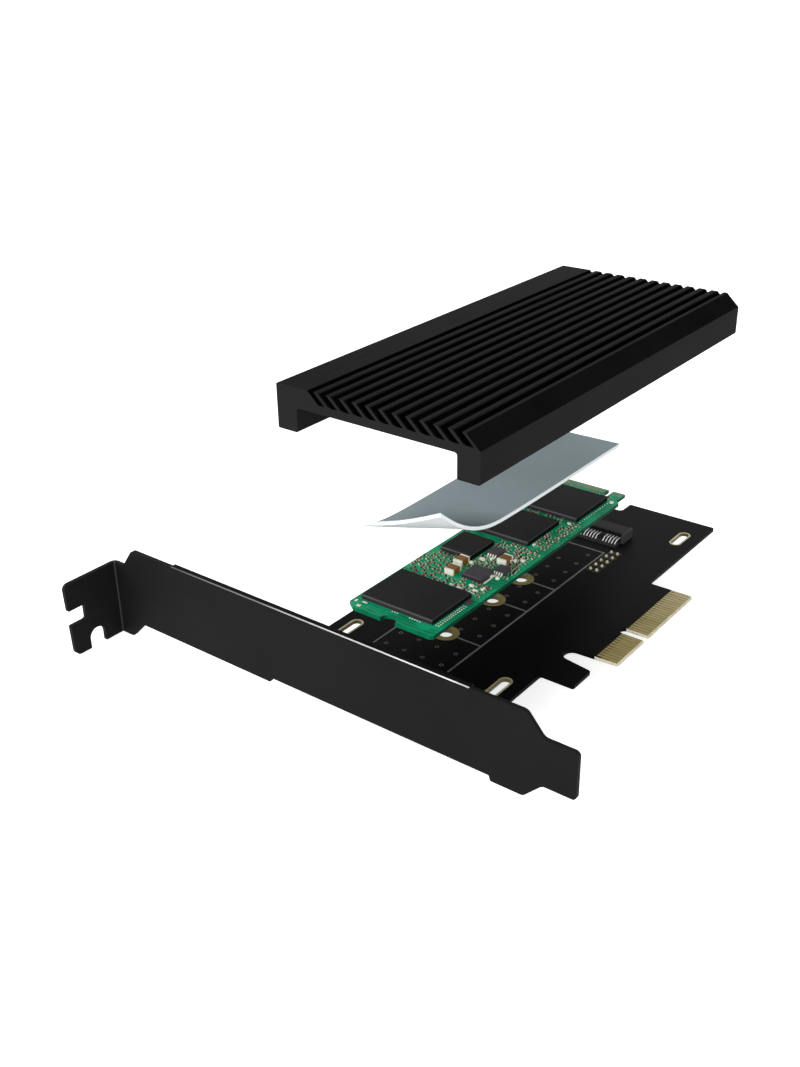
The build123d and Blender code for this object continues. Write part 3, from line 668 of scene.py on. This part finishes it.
def turned(centres, profile, around):
    """Each profile point (radius, height) carried round a circle about each centre (x, y, z)."""
    angle = np.linspace(0.0, 2.0 * np.pi, around, endpoint=False)
    radius, height = np.array(profile).T
    ring = np.stack([
        np.outer(radius, np.cos(angle)),
        np.outer(radius, np.sin(angle)),
        np.outer(height, np.ones(around)),
    ], axis=-1)
    return np.array(centres)[:, None, None, :] + ring[None]


def stadium_turned(centres, half_straight, profile, around):
    """As turned, with the circle cut in two along x and the halves moved apart by half_straight along y."""
    rings = turned(centres, profile, around)
    angle = np.linspace(0.0, 2.0 * np.pi, around, endpoint=False)
    rings[..., 1] += np.where(np.sin(angle) >= 0.0, half_straight, -half_straight)
    return rings


def lozenges(centres, sizes, cut):
    """Small boxes with cut corners and a softened top. The outline has 8 points, one on each side of every
    corner and a cut away from it. It is carried up through three heights and drawn in at the last one."""
    sizes = np.array(sizes)
    corner = np.array([(1, -1), (1, 1), (-1, 1), (-1, -1)], float)
    before = np.array([(-1, 0), (0, -1), (1, 0), (0, 1)]) * cut
    after = np.array([(0, 1), (-1, 0), (0, -1), (1, 0)]) * cut
    rings = []
    for height, drawn in ((0.0, 0.0), (0.8, 0.0), (1.0, 0.6)):
        tips = corner * (sizes[:, None, :2] / 2.0 - cut * drawn)
        outline = np.stack([tips + before, tips + after], axis=2).reshape(len(sizes), 8, 2)
        level = np.broadcast_to((sizes[:, 2] * height)[:, None, None], (len(sizes), 8, 1))
        rings.append(np.concatenate([outline, level], axis=2))
    return np.array(centres)[:, None, None, :] + np.stack(rings, axis=1)


# Gold walls inside the clip slots and the drive's seat holes, in painted shade
slot_radius = 1.098 * MM
slot_half_straight = 2.4 * MM
seat_radius = 1.598 * MM
wall_profile = np.array([(0.0, 0.02), (-0.06, 0.02), (-0.06, -0.78), (0.0, -0.78)]) * MM
slot_wall = wall_profile + np.array([slot_radius, 0.0])
slot_rings = stadium_turned(slot_centres, slot_half_straight, slot_wall, 24)
put_piece("slot_walls", "gold_plate", gold_wall_painted_shade, slot_rings, True)
rim_profile = np.array([(1.098, 0.01), (1.098, 0.06), (1.52, 0.06), (1.52, 0.01)]) * MM
rim_rings = stadium_turned(slot_centres, slot_half_straight, rim_profile, 24)
slot_rims = put_piece("slot_rims", "gold_plate", gold_flash, rim_rings, True)
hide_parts("slot_plating")
seat_rings = turned(seat_centres, wall_profile + np.array([seat_radius, 0.0]), 24)
put_piece("seat_hole_walls", "gold_plate", gold_wall_painted_shade, seat_rings, True)

# Masked via rings with dark middles
via_columns = [seat_x + x for x in (-7.95, -3.05, 1.65, 6.55)]
via_centres = [(x, y) for x in via_columns for y in (-34.15, -29.0)]
via_rows = (-20.2, -14.8, -9.35, -2.1, 3.2, 10.2, 15.35, 20.55)
via_centres += [(x, y) for x in via_columns[2:] for y in via_rows]
via_centres += [(via_columns[3], 25.9)]
via_centres = [(x * MM, y * MM, 0.0) for x, y in via_centres]
via_profile = np.array([(0.26, 0.0), (0.3, 0.03), (0.46, 0.03), (0.5, 0.0)]) * MM
via_rings = put_piece("via_rings", "via_grey", via_mask, turned(via_centres, via_profile, 14), True)
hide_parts("via_pads")

# Domed solder on the header's pins
pin_pitch = 2.5
pin_centres = [
    ((seat_x + x) * MM, (30.1 - pin_pitch * i) * MM, 0.05 * MM) for x in (10.6, 12.25) for i in range(5)
]
pin_profile = np.array([(0.36, 0.0), (0.34, 0.22), (0.29, 0.44), (0.18, 0.6), (0.06, 0.66)]) * MM
pin_rings = turned(pin_centres, pin_profile, 12)
pins = put_piece("header_pin_domes", "solder", pin_metal, pin_rings, False, smooth=True)
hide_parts("header_pins")

# Spring contacts in the socket's mouth: out of the block, then bent down to the lower jaw
socket_high = np.array(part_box("m2_socket_contacts")[1]) / MM
spring_pitch = 0.82
key_gap = 2.05
spring_xs = socket_high[0] - 0.21 - spring_pitch * np.arange(5)
spring_xs = np.concatenate([spring_xs, spring_xs[-1] - key_gap - spring_pitch * np.arange(15)])
spring_path = np.array([(0.0, 1.14), (-1.62, 1.14), (-1.85, 1.02), (-2.68, 0.46), (-2.72, 0.42)])
spring_section = np.array([(-0.11, 0.07), (0.11, 0.07), (0.11, -0.07), (-0.11, -0.07)])
spring = np.empty((len(spring_path), len(spring_section), 3))
spring[..., 0] = spring_section[:, 0]
spring[..., 1] = spring_path[:, None, 0]
spring[..., 2] = spring_path[:, None, 1] + spring_section[:, 1]
spring_starts = np.zeros((len(spring_xs), 3))
spring_starts[:, 0] = spring_xs
spring_starts[:, 1] = socket_high[1]
spring_rings = (spring_starts[:, None, None, :] + spring) * MM
springs = put_piece("socket_springs", "solder", steel_leg, spring_rings, False)
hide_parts("m2_socket_contacts")


# Fine parts on the drive between the packages
redrawn = ("drive_board", "drive_contacts", "drive_chip_parts", "drive_chip_ends")


def covered_on_drive(low, high):
    """Which of the rectangles low..high (x, y) meet something that already stands on the drive."""
    meets = np.zeros(len(low), bool)
    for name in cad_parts:
        if not name.startswith("drive_") or name in redrawn:
            continue
        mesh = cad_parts[name].data
        corners = np.empty(len(mesh.loops), np.int32)
        mesh.loops.foreach_get("vertex_index", corners)
        points = np.empty(len(mesh.vertices) * 3, np.float32)
        mesh.vertices.foreach_get("co", points)
        triangles = points.reshape(-1, 3)[corners].reshape(-1, 3, 3)[..., :2]
        under, over = triangles.min(axis=1), triangles.max(axis=1)
        touch = (low[:, None] < over[None]) & (high[:, None] > under[None])
        meets |= touch.all(axis=2).any(axis=1)
    return meets


part_seed = 4
draw = np.random.default_rng(part_seed)


def lattice(x_start, x_end, y_start, y_end, x_pitch, y_pitch, share):
    """Points in even rows over a rectangle of the drive, in mm. A share is kept and moved a little."""
    x, y = np.meshgrid(np.arange(x_start, x_end, x_pitch), np.arange(y_start, y_end, y_pitch))
    points = np.stack([x.ravel(), y.ravel()], axis=1)
    points = points[draw.random(len(points)) < share]
    return (points + draw.uniform(-0.12, 0.12, points.shape)) * MM


def clear_of_parts(points, half, taken):
    """The points whose rectangle of half sizes is clear of the CAD parts and of the rectangles in taken."""
    low, high = points - half, points + half
    keep = ~covered_on_drive(low - 0.1 * MM, high + 0.1 * MM)
    for one in np.flatnonzero(keep):
        for other_low, other_high in taken:
            if (low[one] < other_high).all() and (high[one] > other_low).all():
                keep[one] = False
                break
        if keep[one]:
            taken.append((low[one] - 0.1 * MM, high[one] + 0.1 * MM))
    return keep


def on_top(points, height=0.0):
    """Points of the drive's plan, (n, 2), raised to its top face or above it."""
    return np.concatenate([points, np.full((len(points), 1), drive_top + height)], axis=1)


# Light parts that stand out singly: place, then width, depth and height, all in mm
cream_parts = np.array([
    (-35.5, -14.3, 0.9, 0.7, 0.7), (-34.7, -11.3, 1.3, 0.6, 0.5), (-33.1, -9.9, 0.6, 1.1, 0.5),
    (-31.1, -9.3, 0.6, 0.9, 0.5), (-29.5, -8.6, 1.0, 0.6, 0.6), (-28.4, -7.9, 0.6, 0.9, 0.6),
    (-27.2, -6.8, 0.9, 0.6, 0.5), (-28.6, -16.6, 0.6, 0.8, 0.5), (-27.3, -16.5, 0.8, 0.6, 0.5),
    (-29.9, -22.3, 1.1, 0.6, 0.4), (-28.1, -23.6, 1.2, 0.5, 0.4), (-27.1, -22.1, 0.6, 1.1, 0.4),
    (-28.6, -24.9, 1.2, 0.5, 0.3), (-31.6, -24.4, 1.2, 0.5, 0.3), (-33.6, -24.3, 1.0, 0.5, 0.3),
    (-26.1, 30.4, 0.9, 0.7, 0.4), (-28.4, 14.8, 0.9, 0.5, 0.4), (-29.3, 1.2, 0.5, 0.9, 0.4),
    (-44.0, -42.3, 0.9, 0.8, 0.06), (-43.7, -40.6, 1.2, 0.4, 0.12), (-45.7, -40.9, 0.5, 0.9, 0.06),
])
choke_bar = np.array([(-28.45, -17.8, 0.3, 4.3, 0.25)])
side_ic = np.array([(-26.35, -28.3, 1.1, 1.5, 0.5)])
memory_dots = [(x, y) for x in (-26.6, -26.0) for y in np.arange(-39.3, -29.6, 0.72)]
memory_dots += [(-26.8, y) for y in np.arange(16.9, 29.6, 1.05)]
memory_dots += [(x, -40.15) for x in np.arange(-32.5, -29.9, 0.62)]
memory_dots += [(x, -40.15) for x in np.arange(-36.9, -35.5, 0.62)]
memory_dots += [(x, y) for x in (-44.95, -45.6) for y in np.arange(-38.6, -27.0, 0.9)]
memory_dots = np.array(memory_dots) * MM
single_parts = np.concatenate([cream_parts, choke_bar, side_ic]) * MM
laid = [(part[:2] - part[2:4] / 2, part[:2] + part[2:4] / 2) for part in single_parts]
laid += [(dot - 0.2 * MM, dot + 0.2 * MM) for dot in memory_dots]

cream_forms = lozenges(on_top(cream_parts[:, :2] * MM), cream_parts[:, 2:] * MM, 0.08 * MM)
put_piece("drive_light_parts", "solder", tin_solder, cream_forms, False)
bar_forms = lozenges(on_top(choke_bar[:, :2] * MM), choke_bar[:, 2:] * MM, 0.08 * MM)
put_piece("drive_choke_bar", "solder", tin_solder, bar_forms, False)
ic_forms = lozenges(on_top(side_ic[:, :2] * MM), side_ic[:, 2:] * MM, 0.05 * MM)
put_piece("drive_side_ic", "chip_black", choke_resin, ic_forms, False)
dot_profile = np.array([(0.18, 0.0), (0.17, 0.05), (0.1, 0.08)]) * MM
put_piece("drive_solder_dots", "solder", tin_solder, turned(on_top(memory_dots), dot_profile, 8), False)

# Mixed small parts in loose rows: x from and to, y from and to, the two pitches and the share that is kept
part_regions = (
    (-45.9, -26.3, -25.4, -20.6, 1.3, 0.92, 0.75),
    (-45.9, -34.3, -20.6, -14.6, 1.3, 0.92, 0.7),
    (-44.2, -34.3, -14.6, -13.4, 1.3, 0.92, 0.8),
    (-35.6, -25.9, -15.2, -0.9, 1.2, 0.9, 0.72),
    (-29.5, -25.7, 0.4, 15.6, 1.0, 1.2, 0.72),
    (-45.0, -30.2, 13.9, 15.9, 1.3, 0.95, 0.6),
    (-46.0, -45.2, -3.0, 14.0, 0.9, 1.3, 0.6),
    (-44.5, -27.0, 31.7, 33.2, 1.5, 0.9, 0.6),
)
lying_half = np.array([0.46, 0.22]) * MM
standing_half = np.array([0.22, 0.46]) * MM
end_shift = 0.385 * MM
lying = []
standing = []
for region in part_regions:
    spots = lattice(*region)
    across = draw.random(len(spots)) < 0.5
    first, second = spots[across], spots[~across]
    lying.append(first[clear_of_parts(first, lying_half, laid)])
    standing.append(second[clear_of_parts(second, standing_half, laid)])
lying = np.concatenate(lying)
standing = np.concatenate(standing)
body_forms = []
end_forms = []
for points, axis in ((lying, 0), (standing, 1)):
    body = np.array([0.42, 0.42, 0.32]) * MM
    body[axis] = 0.62 * MM
    body_forms.append(lozenges(on_top(points), np.tile(body, (len(points), 1)), 0.04 * MM))
    end = np.array([0.44, 0.44, 0.35]) * MM
    end[axis] = 0.15 * MM
    for side in (-1.0, 1.0):
        moved = points.copy()
        moved[:, axis] += side * end_shift
        end_forms.append(lozenges(on_top(moved), np.tile(end, (len(points), 1)), 0.03 * MM))
fine_parts = put_piece("drive_fine_parts", "chip_part_tan", chip_ceramic, np.concatenate(body_forms), False)
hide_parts("drive_chip_parts")
fine_ends = put_piece("drive_fine_ends", "solder", fine_tin, np.concatenate(end_forms), False)
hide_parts("drive_chip_ends")

# Bare solder pads in the gaps that are left
bare = np.concatenate([lattice(*region[:4], 0.62, 0.55, 0.3) for region in part_regions])
bare_half = np.array([0.17, 0.11]) * MM
bare = bare[clear_of_parts(bare, bare_half, laid)]
pad_forms = lozenges(on_top(bare), np.tile(np.array([0.3, 0.2, 0.04]) * MM, (len(bare), 1)), 0.03 * MM)
put_piece("drive_bare_pads", "solder", fine_tin, pad_forms, False)


# Bent legs of the small power parts, in front of and behind each
def bent_legs(places, direction, reach, top):
    """A flat strip 0.3 mm wide along a bent path: out from the body, down, and out along the board."""
    bends = [(-0.15, top), (0.18 * reach, top), (0.55 * reach, 0.35 * top), (0.7 * reach, 0.1), (reach, 0.08)]
    path = np.array(bends)
    across = np.array([(-0.15, 0.05), (0.15, 0.05), (0.15, -0.05), (-0.15, -0.05)])
    strip = np.empty((len(path), len(across), 3))
    strip[..., 0] = across[:, 0]
    strip[..., 1] = direction * path[:, None, 0]
    strip[..., 2] = path[:, None, 1] + across[:, 1]
    return on_top(np.array(places) * MM)[:, None, None, :] + strip[None] * MM


# Power part outlines in mm: middle x, middle y, width and depth
power_parts = ((-33.802, -7.202, 3.0, 3.0), (-28.2, -13.3, 2.6, 2.8))
leg_pitch = 0.62
leg_reach = 0.75
leg_top = 0.55
leg_sets = []
for x, y, wide, deep in power_parts:
    count = int(wide / leg_pitch)
    leg_xs = x + leg_pitch * (np.arange(count) - (count - 1) / 2)
    for direction in (-1.0, 1.0):
        starts = [(leg_x, y + direction * deep / 2) for leg_x in leg_xs]
        leg_sets.append(bent_legs(starts, direction, leg_reach, leg_top))
legs = put_piece("drive_bent_legs", "solder", tin_solder, np.concatenate(leg_sets), False)
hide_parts("drive_ic_pins")


# The thermal pad and its cover film: a strip of four edges, blended across, whose near right corner peels up
def eased(points, count):
    """A natural cubic curve through the points, spaced by their distance, at count evenly spaced places."""
    points = np.array(points, float)
    steps = np.linalg.norm(np.diff(points, axis=0), axis=1)
    knots = np.concatenate([[0.0], np.cumsum(steps)])
    size = len(points)
    system = np.eye(size)
    pull = np.zeros((size, 3))
    inner = np.arange(1, size - 1)
    system[inner, inner - 1] = steps[:-1]
    system[inner, inner] = 2.0 * (steps[:-1] + steps[1:])
    system[inner, inner + 1] = steps[1:]
    slopes = np.diff(points, axis=0) / steps[:, None]
    pull[1:-1] = 6.0 * np.diff(slopes, axis=0)
    bend = np.linalg.solve(system, pull)
    at = np.linspace(0.0, knots[-1], count)
    span = np.clip(np.searchsorted(knots, at, side="right") - 1, 0, size - 2)
    wide = steps[span][:, None]
    after = (at - knots[span])[:, None]
    before = wide - after
    cubic = (bend[span] * before**3 + bend[span + 1] * after**3) / (6.0 * wide)
    first = (points[span] / wide - bend[span] * wide / 6.0) * before
    second = (points[span + 1] / wide - bend[span + 1] * wide / 6.0) * after
    return cubic + first + second


def blended_strip(left, right, near, far):
    """Four edges to one surface: the left-right blend, plus what the near and far edges leave it short of."""
    share = np.linspace(0.0, 1.0, near.shape[0])[None, :, None]
    along = np.linspace(0.0, 1.0, left.shape[0])[:, None, None]
    between = (1.0 - share) * left[:, None] + share * right[:, None]
    near_gap = near[None] - ((1.0 - share) * near[0] + share * near[-1])
    far_gap = far[None] - ((1.0 - share) * far[0] + share * far[-1])
    return between + (1.0 - along) ** 3 * near_gap + along * far_gap


def put_slab(name, slot, finish, top, bottom):
    """A closed sheet between two grids of the same shape: both faces and a strip of quads round the rim."""
    rows, columns = top.shape[:2]
    index = np.arange(rows * columns).reshape(rows, columns)
    cells = np.stack([index[:-1, :-1], index[:-1, 1:], index[1:, 1:], index[1:, :-1]], axis=-1).reshape(-1, 4)
    rim = np.concatenate([index[0, :-1], index[:-1, -1], index[-1, :0:-1], index[:0:-1, 0]])
    ahead = np.roll(rim, -1)
    under = rows * columns
    walls = np.stack([rim + under, ahead + under, ahead, rim], axis=-1)
    faces = np.concatenate([cells, cells[:, ::-1] + under, walls])
    points = np.concatenate([top.reshape(-1, 3), bottom.reshape(-1, 3)])
    piece = riding(name, slot, finish, points, faces.tolist(), True)
    piece.data.set_sharp_from_angle(angle=0.7)
    return piece


# The edges of the strip, and its thicknesses, in mm
left_points = [
    (-45.8, -38.8, 30.0), (-45.8, -34.8, 28.25), (-45.8, -30.5, 27.5), (-45.8, -24.0, 27.22),
    (-45.8, -12.0, 27.2), (-45.8, 10.0, 27.2), (-45.8, 32.1, 27.2),
]
right_points = [
    (-27.4, -36.75, 36.4), (-26.6, -31.8, 32.4), (-26.1, -25.8, 29.5), (-26.0, -21.0, 28.35),
    (-26.0, -15.0, 27.93), (-26.0, -6.0, 27.78), (-26.0, 12.0, 27.72), (-26.0, 32.0, 27.68),
]
film_thick = 0.12
pad_thick = 0.8
near_points = [left_points[0], (-36.6, -37.7, 32.55), right_points[0]]
far_points = [left_points[-1], (-35.9, 32.05, 27.44), right_points[-1]]
strip_rows, strip_columns = 72, 30
strip = blended_strip(
    eased(left_points, strip_rows), eased(right_points, strip_rows),
    eased(near_points, strip_columns), eased(far_points, strip_columns),
) * MM
film_under = strip - np.array([0.0, 0.0, film_thick * MM])
pad_under = strip - np.array([0.0, 0.0, (film_thick + pad_thick) * MM])
film = put_slab("pad_film_sheet", "pad_grey", pad_film, strip, film_under)
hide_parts("pad_cover_film")
pad = put_slab("pad_silicone", "pad_white", pad_body, film_under, pad_under)
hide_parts("thermal_pad")

# Floor, world and lamps
floor_finish, floor_tree, floor_shader = new_finish("pale_floor")
floor_cloud = cloud(floor_tree, piece_place(floor_tree), 3.0)
floor_tone = tones(floor_tree, floor_cloud, [(0.3, (0.88, 0.88, 0.88, 1.0)), (0.7, (0.9, 0.9, 0.9, 1.0))])
floor_tree.links.new(floor_tone, floor_shader.inputs["Base Color"])
floor_shader.inputs["Roughness"].default_value = 0.9
floor_shader.inputs["Specular IOR Level"].default_value = 0.0
floor_shader.inputs["Emission Color"].default_value = (1.0, 1.0, 1.0, 1.0)
floor_half = 12.0
lowest = min(cad_box[0][2], cad_box[1][2])
floor_mesh = bpy.data.meshes.new("floor")
floor_corners = [(x * floor_half, y * floor_half, lowest) for x, y in ((-1, -1), (1, -1), (1, 1), (-1, 1))]
floor_mesh.from_pydata(floor_corners, [], [(0, 1, 2, 3)])
floor = bpy.data.objects.new("floor", floor_mesh)
floor_mesh.materials.append(floor_finish)
bpy.context.scene.collection.objects.link(floor)


def seen_ray(tree):
    """1 for a ray from the camera, off gloss or through glass, 0 for the light that falls on the object."""
    ray = tree.nodes.new("ShaderNodeLightPath")
    seen = worked(tree, "ADD", ray.outputs["Is Camera Ray"], ray.outputs["Is Glossy Ray"])
    seen = worked(tree, "ADD", seen, ray.outputs["Is Transmission Ray"])
    return worked(tree, "MINIMUM", seen, 1.0)


floor_glow = 0.74
floor_light = worked(floor_tree, "MULTIPLY", seen_ray(floor_tree), floor_glow)
floor_tree.links.new(floor_light, floor_shader.inputs["Emission Strength"])

world = bpy.data.worlds.new("studio")
bpy.context.scene.world = world
world.use_nodes = True
sky = world.node_tree
sky_light = sky.nodes["Background"]
sky_light.inputs["Color"].default_value = (1.0, 1.0, 1.0, 1.0)
sky_light.inputs["Strength"].default_value = 0.5
sky_white = sky.nodes.new("ShaderNodeBackground")
sky_white.inputs["Color"].default_value = (1.0, 1.0, 1.0, 1.0)
sky_white.inputs["Strength"].default_value = 1.0
sky_mix = sky.nodes.new("ShaderNodeMixShader")
sky.links.new(seen_ray(sky), sky_mix.inputs["Fac"])
sky.links.new(sky_light.outputs["Background"], sky_mix.inputs[1])
sky.links.new(sky_white.outputs["Background"], sky_mix.inputs[2])
sky.links.new(sky_mix.outputs["Shader"], sky.nodes["World Output"].inputs["Surface"])


def soft_lamp(name, place, target, size, watts):
    """A square area lamp at place that faces target; sizes in metres."""
    light = bpy.data.lights.new(name, "AREA")
    light.shape = "SQUARE"
    light.size = size
    light.energy = watts
    lamp = bpy.data.objects.new(name, light)
    lamp.location = place
    lamp.rotation_euler = (Vector(target) - Vector(place)).to_track_quat("-Z", "Y").to_euler()
    bpy.context.scene.collection.objects.link(lamp)


card_middle = (-0.03, 0.0, 0.02)
soft_lamp("key_lamp", (0.55, -1.0, 0.42), card_middle, 0.7, 9.0)
soft_lamp("fill_lamp", (-0.8, -0.75, 0.42), card_middle, 0.7, 5.5)
soft_lamp("top_lamp", (-0.2, 0.7, 1.1), card_middle, 0.8, 4.0)
